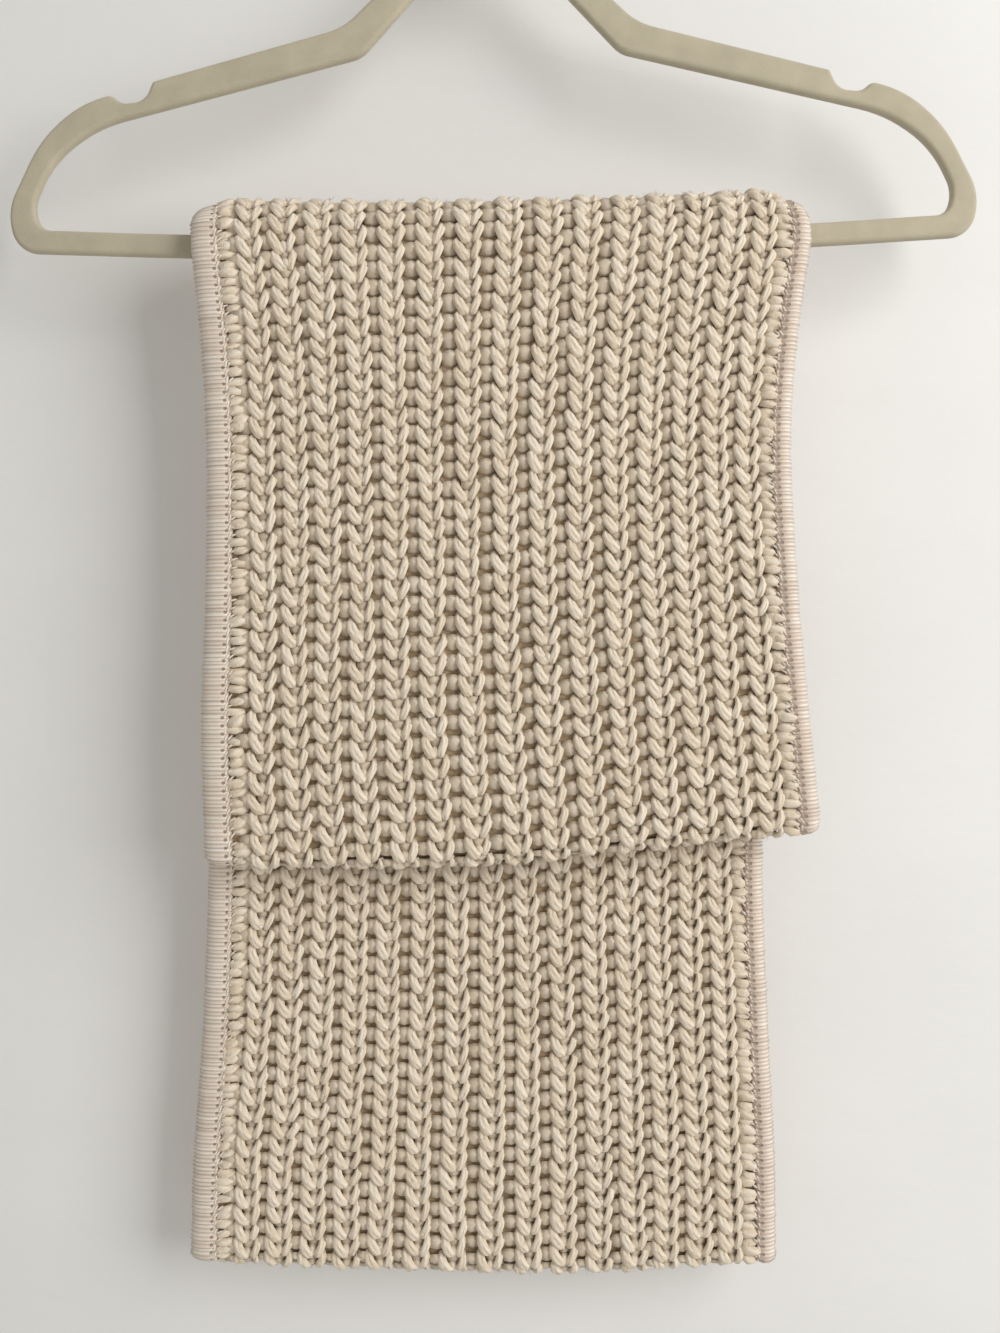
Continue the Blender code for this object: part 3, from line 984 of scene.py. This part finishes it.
class EdgingSettings(bpy.types.PropertyGroup):
    """Sizes and colours of the overlocked edges."""

    thread_pitch: length_prop("Thread pitch", "From thread to thread over the edge", 1.825 * MM)
    needle_pitch: length_prop("Needle pitch", "From one needle stitch to the next", 3.65 * MM)
    ridge: length_prop("Ridge", "How far a thread stands proud", 0.6 * MM)
    thread_light: colour_prop("Thread light", "The sewing thread", (0.93, 0.87, 0.78))
    # The blush is a darker, pinker colour that the band's threads beside the knit take.
    thread_blush: colour_prop("Thread blush", "Rubbed thread beside the knit", (0.66, 0.515, 0.42))
    thread_dark: colour_prop("Thread dark", "Its shaded side", (0.77, 0.65, 0.54))


class HangerSettings(bpy.types.PropertyGroup):
    """Sizes and colours of the hanger."""

    thick: length_prop("Thickness", "Front to back", 5.5 * MM)
    rounding: length_prop("Rounding", "Radius along its edges", 2.2 * MM)
    wire: length_prop("Wire", "Thickness of the hook", 3.5 * MM)
    flock_colour: colour_prop("Flock", "The flocked body", (0.56, 0.504, 0.377))
    wire_colour: colour_prop("Hook", "The plated wire", (0.66, 0.64, 0.60))


class StageSettings(bpy.types.PropertyGroup):
    """The wall, the floor and the light."""

    wall_gap: length_prop("Wall gap", "From the hanger's middle to the wall", 34.0 * MM)
    wall_colour: colour_prop("Wall", "The painted wall", (0.86, 0.855, 0.84))
    window: power_prop("Window", "Power of the window light", 19.2)
    back: power_prop("Back light", "Power of the light behind", 5.0)
    sky: FloatProperty(name="Sky", description="Strength of the soft light", default=0.445)


# Operators ----------------------------------------------------------------------------


class SCARF_OT_ground(bpy.types.Operator):
    """The cloth itself, a thin closed ring behind the stitches"""

    bl_idname = "scarf.ground"
    bl_label = "Ground cloth"

    def execute(self, context):
        margin = 5.0 * MM
        middles = rib_middle(np.arange(-0.5, RIBS, 0.5))
        across = np.concatenate(([margin], middles, [CUT_WIDTH - margin]))
        relief = np.array([0.8] + [0.0, 0.2] * RIBS + [0.0, 0.8]) * MM - 1.0 * MM
        heights = np.concatenate((relief, np.full(len(across), -3.1 * MM)))
        section = np.stack([np.concatenate((across, across[::-1])), heights], axis=-1)
        sides = len(section)
        rings = int(LOOP_LENGTH / (9.0 * MM))
        along = np.repeat(np.arange(rings) * LOOP_LENGTH / rings, sides)
        local = np.insert(np.tile(section, (rings, 1)), 1, along, axis=1)
        ring, side = tube_corners(rings, sides)
        loops = (ring % rings * sides + side).ravel()
        finish = ground_material(context.scene.scarf_knit)
        sizes = np.full(rings * sides, 4)
        piece = mesh_piece("knit_ground", on_cloth(local), loops, sizes, finish)
        return {"FINISHED"}


def stretches_of_stitches(knit):
    """The named stretches of the loop that show, as (name, start, end)."""
    half = (BACK_START + BACK_FOLD) / 2
    hem = float(foot("front", 0.0))
    inside = INSIDE_START + (hem - float(foot("back", 0.0))) + knit.inside_reach
    return [
        ("front", -27.0 * MM, CREST_START),
        ("over_bar", CREST_START, BACK_START),
        ("back_upper", BACK_START, half),
        ("back_lower", half, BACK_FOLD),
        ("inside", BACK_FOLD, inside),
    ]


# A form of stitch: its strand, the columns it is laid along, the seed of its random draws, and
# sunk (its painted shade), ahead and loose, which lay_stitches and stitch_places explain.
Form = namedtuple("Form", "template columns seed sunk ahead loose", defaults=(0.0, 1.0))


def knit_pieces(kind, forms, knit):
    """One piece for each stretch that shows, with every form laid along its columns."""
    finish = yarn_material(knit)
    for k, (name, start, end) in enumerate(stretches_of_stitches(knit)):
        laid = []
        for form in forms:
            seed, pitch = form.seed + k, knit.row_pitch
            places = stitch_places(form.columns, start, end, pitch, seed, form.ahead, form.loose)
            laid.append((form.template, places, form.sunk))
        lay_stitches(f"{kind}_{name}", laid, finish)


class SCARF_OT_ribs(bpy.types.Operator):
    """The raised ribs: two plied legs to a stitch, and the strand that crosses behind them"""

    bl_idname = "scarf.ribs"
    bl_label = "Ribs"

    def execute(self, context):
        columns = rib_middle(np.arange(RIBS))
        # The last numbers are painted shade: the crotch strand and the square between the legs are
        # darkened for the shade they lie in.
        forms = (
            Form(plied(RIGHT_LEG, LEG_SIDES, phase=0.2, twist=1.5), columns, 100, 0.0),
            Form(plied(LEFT_LEG, LEG_SIDES, phase=0.1, twist=1.3), columns, 200, 0.0),
            Form(single(CROTCH, LEG_SIDES, flat=0.5), columns, 300, 0.3),
            Form(single(SQUARE, LEG_SIDES, flat=0.36), columns, 700, 0.6, ahead=0.25),
        )
        knit_pieces("ribs", forms, context.scene.scarf_knit)
        return {"FINISHED"}


class SCARF_OT_recesses(bpy.types.Operator):
    """The sunk stitches between the ribs, and the loose ones beside the overlocking"""

    bl_idname = "scarf.recesses"
    bl_label = "Recesses"

    def execute(self, context):
        sunk = single(RECESS, LEG_SIDES, flat=0.34)
        # 0.5 and 0.05 are painted shade: the recess stitches are darkened for the shade between the
        #                                 ribs, and the right margin's stitches a little.
        forms = [Form(sunk, rib_middle(np.arange(-0.5, RIBS)), 400, 0.5, ahead=0.145)]
        first = [from_edge("left", (BANDS["left"][0].inward + 3.5) * MM)]
        last = [from_edge("right", (BANDS["right"][0].inward + 3.0) * MM)]
        for knots, seed in ((MARGIN_UPPER, 500), (MARGIN_LOWER, 600)):
            strand = single(knots, LEG_SIDES)
            forms.append(Form(strand, first, seed, 0.0, loose=LOOSE))
            forms.append(Form(mirrored(strand), last, seed + 50, 0.05, loose=LOOSE))
        knit_pieces("recesses", forms, context.scene.scarf_knit)
        return {"FINISHED"}


class SCARF_OT_overlock(bpy.types.Operator):
    """The overlocked bands: thread after thread over both cut edges, all the way round"""

    bl_idname = "scarf.overlock"
    bl_label = "Overlocking"

    def execute(self, context):
        edging = context.scene.scarf_edging
        finish = overlock_material(edging)
        threads = int(LOOP_LENGTH / edging.thread_pitch)
        pitch = LOOP_LENGTH / threads
        rings = THREAD_RINGS * threads
        for hand, habit in HANDS.items():
            section = np.array(BANDS[hand]) * MM
            sides = len(section)
            ahead = np.roll(section, -1, axis=0) - np.roll(section, 1, axis=0)
            outward = np.stack([-ahead[:, 1], ahead[:, 0]], axis=-1)
            outward /= np.linalg.norm(ahead, axis=1, keepdims=True)
            draw = np.random.default_rng(habit.seed)
            deep = 0.7 + 0.3 * draw.random(threads) ** 2
            valley = np.tile(THREAD_VALLEY, threads) * np.repeat(deep, THREAD_RINGS)
            proud = np.repeat(THREAD_PROUD * draw.normal(size=threads), THREAD_RINGS)
            lift = (proud - edging.ridge * valley * habit.ridge)[:, None]
            shift = np.repeat(THREAD_STRAY * draw.normal(size=threads), THREAD_RINGS)
            along = np.arange(rings) * pitch / THREAD_RINGS + shift
            local = np.stack(
                [
                    from_edge(hand, section[:, 0] + outward[:, 0] * lift),
                    along[:, None] + THREAD_SLANT * (section[:, 0] - SLANT_MIDDLE),
                    section[:, 1] + outward[:, 1] * lift,
                ],
                axis=-1,
            )
            ring, side = tube_corners(rings, sides)
            if hand == "left":
                ring, side = ring[:, :, ::-1], side[:, :, ::-1]
            ring, side = ring.ravel(), side.ravel()
            rounds = ring // rings * LOOP_LENGTH
            outside = section[1, 0] - section[side, 0]
            piece = mesh_piece(
                f"overlock_{hand}",
                on_cloth(local),
                ring % rings * sides + side,
                np.full(rings * sides, 4),
                finish,
                np.stack([along[ring % rings] + rounds, outside], axis=-1) / MM,
                valley=np.repeat(valley, sides),
                blush=np.full(rings * sides, habit.blush),
                tone=np.repeat(draw.random(threads), THREAD_RINGS * sides),
            )
            stretches = ("front_outer", "front_inner", "front_fold", "back_outer", "back_inner")
            stretches += ("back_fold", "over_bar_outer", "over_bar_inner")
            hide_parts(*(f"edging_{hand}_{one}" for one in stretches))
        return {"FINISHED"}


class SCARF_OT_needle_line(bpy.types.Operator):
    """The needle stitches along the inner border of both bands"""

    bl_idname = "scarf.needle_line"
    bl_label = "Needle line"

    def execute(self, context):
        edging = context.scene.scarf_edging
        finish = needle_material(edging)
        needle = single(NEEDLE, PAD_SIDES)
        looper = single(LOOPER, PAD_SIDES)
        count = int(LOOP_LENGTH / edging.needle_pitch)
        for hand, habit in HANDS.items():
            draw = np.random.default_rng(habit.needle_seed)
            laid = []
            # The looper's 0.25 is painted shade, for the shade it lies in below the needle
            # stitches.
            for form, inside, lift, sunk in ((needle, 0.0, 1.9, 0.0), (looper, 1.3, 1.6, 0.25)):
                line = from_edge(hand, (BANDS[hand][1].inward + inside) * MM)
                columns = (
                    line + THREAD_STRAY * draw.normal(size=count),
                    np.arange(count) * LOOP_LENGTH / count,
                    np.full(count, lift * MM),
                    1 + NEEDLE_UNEVEN * draw.normal(size=(count, 3)),
                    NEEDLE_TURN * draw.normal(size=count),
                    draw.random(count),
                )
                form = form if hand == "left" else mirrored(form)
                laid.append((form, np.column_stack(columns), sunk))
            piece = lay_stitches(f"needle_line_{hand}", laid, finish)
        return {"FINISHED"}


class SCARF_OT_fuzz(bpy.types.Operator):
    """Loose fibre ends that stand off the yarn"""

    bl_idname = "scarf.fuzz"
    bl_label = "Fuzz"

    def execute(self, context):
        knit = context.scene.scarf_knit
        finish = yarn_material(knit)
        forms = [single(knots, FIBRE_SIDES) for knots in FIBRES]
        low, high = (from_edge(hand, band[0].inward * MM) for hand, band in BANDS.items())
        for k, (name, start, end) in enumerate(stretches_of_stitches(knit)):
            draw = np.random.default_rng(800 + k)
            dense = knit.fuzz_count * (2.0 if name == "over_bar" else 1.0)
            count = int(dense * (end - start))
            laid = []
            for form in forms:
                across = draw.uniform(low, high, count)
                near = np.cos(2 * math.pi * (across - FIRST_RIB) / RIB_PITCH)
                columns = (
                    across,
                    draw.uniform(start, end, count),
                    (2.1 + 1.2 * near) * MM,
                    draw.uniform(0.7, 1.7, (count, 3)),
                    draw.uniform(0.0, 2 * math.pi, count),
                    draw.random(count),
                )
                laid.append((form, np.column_stack(columns), 0.0))
            lay_stitches(f"fuzz_{name}", laid, finish)
        return {"FINISHED"}


class SCARF_OT_hanger(bpy.types.Operator):
    """The flocked body and the hook of the hanger"""

    bl_idname = "scarf.hanger"
    bl_label = "Hanger"

    def execute(self, context):
        hanger = context.scene.scarf_hanger
        body = self.body(hanger)
        body.data.materials.append(flocked_material(hanger))
        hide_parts("hanger_body")
        hook = self.hook(hanger)
        hook.data.materials.append(hook_material(hanger))
        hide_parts("hanger_hook")
        return {"FINISHED"}

    def body(self, hanger):
        """A flat outline with the bar's window in it, thickened and rounded all round."""
        curve = bpy.data.curves.new("flocked_body", "CURVE")
        curve.dimensions = "2D"
        curve.fill_mode = "BOTH"
        curve.extrude = hanger.thick / 2 - hanger.rounding
        curve.bevel_depth = hanger.rounding
        curve.bevel_resolution = 4
        curve.offset = -hanger.rounding
        for corners, height in ((OUTER_CORNERS, BAR_TOP - BAR_DEEP), (INNER_CORNERS, BAR_TOP)):
            add_line(curve, outline(corners, height), True)
        return solid_of(curve, (math.pi / 2, 0.0, 0.0))

    def hook(self, hanger):
        """Shank, a small bend outwards, the round of the hook, and its domed tip."""
        middle = hanger.wire / 2
        round_radius = HOOK_RADIUS + middle
        fall = math.sqrt((round_radius + HOOK_FILLET) ** 2 - HOOK_FILLET**2)
        fillet_centre = (HOOK_FILLET, -HOOK_RADIUS - fall)
        meet = math.atan2(-fall, HOOK_FILLET)
        points = [(0.0, NECK_TOP + SEAM), (0.0, fillet_centre[1])]
        points += arc(fillet_centre, HOOK_FILLET, math.pi, meet + math.pi)
        points += arc((0.0, -HOOK_RADIUS), round_radius, meet, HOOK_TIP)
        curve = bpy.data.curves.new("plated_hook", "CURVE")
        curve.dimensions = "3D"
        curve.bevel_depth = middle
        curve.bevel_resolution = 6
        curve.use_fill_caps = True
        spline = add_line(curve, [(x, 0.0, z) for x, z in points], False)
        for k, share in enumerate(reversed(HOOK_DOME)):
            spline.points[-1 - k].radius = share
        return solid_of(curve, (0.0, 0.0, 0.0))


class SCARF_OT_declare(bpy.types.Operator):
    """Hides the model's scarf parts, and works out the length of the loop, which nothing uses"""

    bl_idname = "scarf.declare"
    bl_label = "Declare the cloth"

    def execute(self, context):
        nodes = [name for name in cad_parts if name.startswith("scarf_")]
        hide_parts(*nodes)
        loop = 2 * (drop_length("front") + drop_length("back"))
        loop += math.pi * (2 * FOLD_RADIUS + 2 * CREST_RADIUS + DEPTH["inner"] + DEPTH["outer"])
        return {"FINISHED"}


class SCARF_OT_stage(bpy.types.Operator):
    """The wall, the floor, the window light and the camera"""

    bl_idname = "scarf.stage"
    bl_label = "Stage"

    def execute(self, context):
        stage = context.scene.scarf_stage
        finish = wall_material(stage)
        wall = self.plane("wall", (0.0, stage.wall_gap, WALL_HEIGHT), WALL_SIZE, finish)
        wall.rotation_euler = (math.pi / 2, 0.0, 0.0)
        wall.visible_diffuse = False
        wall.visible_glossy = False
        wall.visible_shadow = False
        floor = self.plane("floor", (0.0, 0.0, FLOOR_HEIGHT), FLOOR_SIZE, finish)
        self.light("window_light", WINDOW_PLACE, stage.window)
        self.light("back_light", BACK_PLACE, stage.back)
        self.sky(context, stage)
        self.camera(context)
        return {"FINISHED"}

    def plane(self, name, place, scale, finish):
        deselect_all()
        bpy.ops.mesh.primitive_plane_add(size=1.0, location=place)
        made = bpy.context.object
        made.name = name
        made.scale = scale
        made.data.materials.append(finish)
        return made

    def light(self, name, place, power):
        deselect_all()
        bpy.ops.object.light_add(type="AREA", location=place)
        lamp = bpy.context.object
        lamp.name = name
        lamp.data.shape = "RECTANGLE"
        lamp.data.size, lamp.data.size_y = LIGHT_SIZE
        lamp.data.energy = power
        lamp.data.color = LIGHT_COLOUR
        way = LIGHT_AIM - np.array(place)
        tilt = math.pi / 2 + math.atan2(way[2], math.hypot(way[0], way[1]))
        lamp.rotation_euler = (tilt, 0.0, math.atan2(-way[0], way[1]))

    def sky(self, context, stage):
        world = bpy.data.worlds.new("soft_room")
        world.use_nodes = True
        background = world.node_tree.nodes["Background"]
        background.inputs["Color"].default_value = SKY_COLOUR
        background.inputs["Strength"].default_value = stage.sky
        context.scene.world = world
        context.scene.view_settings.view_transform = "Standard"

    def camera(self, context):
        deselect_all()
        turned = (math.pi / 2, CAMERA_ROLL, 0.0)
        bpy.ops.object.camera_add(location=CAMERA_PLACE, rotation=turned)
        camera = context.object
        camera.name = "camera"
        camera.data.lens = CAMERA_LENS
        camera.data.sensor_width = CAMERA_SENSOR
        camera.data.clip_start = CAMERA_NEAR
        context.scene.camera = camera


class SCARF_PT_panel(bpy.types.Panel):
    """The scarf's pieces, in the order they are made"""

    bl_label = "Rib knit scarf"
    bl_idname = "SCARF_PT_panel"
    bl_space_type = "VIEW_3D"
    bl_region_type = "UI"
    bl_category = "Scarf"

    def draw(self, context):
        for settings in SETTINGS:
            box = self.layout.box()
            group = getattr(context.scene, settings)
            for name in group.__annotations__:
                box.prop(group, name)
        for operator in OPERATORS:
            self.layout.operator(operator.bl_idname)


SETTINGS = {
    "scarf_knit": KnitSettings,
    "scarf_edging": EdgingSettings,
    "scarf_hanger": HangerSettings,
    "scarf_stage": StageSettings,
}
OPERATORS = (
    SCARF_OT_stage,
    SCARF_OT_hanger,
    SCARF_OT_ground,
    SCARF_OT_ribs,
    SCARF_OT_recesses,
    SCARF_OT_overlock,
    SCARF_OT_needle_line,
    SCARF_OT_fuzz,
    SCARF_OT_declare,
)


def register():
    for name, group in SETTINGS.items():
        bpy.utils.register_class(group)
        setattr(bpy.types.Scene, name, PointerProperty(type=group))
    for operator in OPERATORS:
        bpy.utils.register_class(operator)
    bpy.utils.register_class(SCARF_PT_panel)


def unregister():
    bpy.utils.unregister_class(SCARF_PT_panel)
    for operator in reversed(OPERATORS):
        bpy.utils.unregister_class(operator)
    for name, group in SETTINGS.items():
        delattr(bpy.types.Scene, name)
        bpy.utils.unregister_class(group)


def main():
    register()
    bpy.ops.scarf.stage()
    bpy.ops.scarf.hanger()
    bpy.ops.scarf.ground()
    bpy.ops.scarf.ribs()
    bpy.ops.scarf.recesses()
    bpy.ops.scarf.overlock()
    bpy.ops.scarf.needle_line()
    bpy.ops.scarf.fuzz()
    bpy.ops.scarf.declare()


if __name__ == "__main__":
    main()
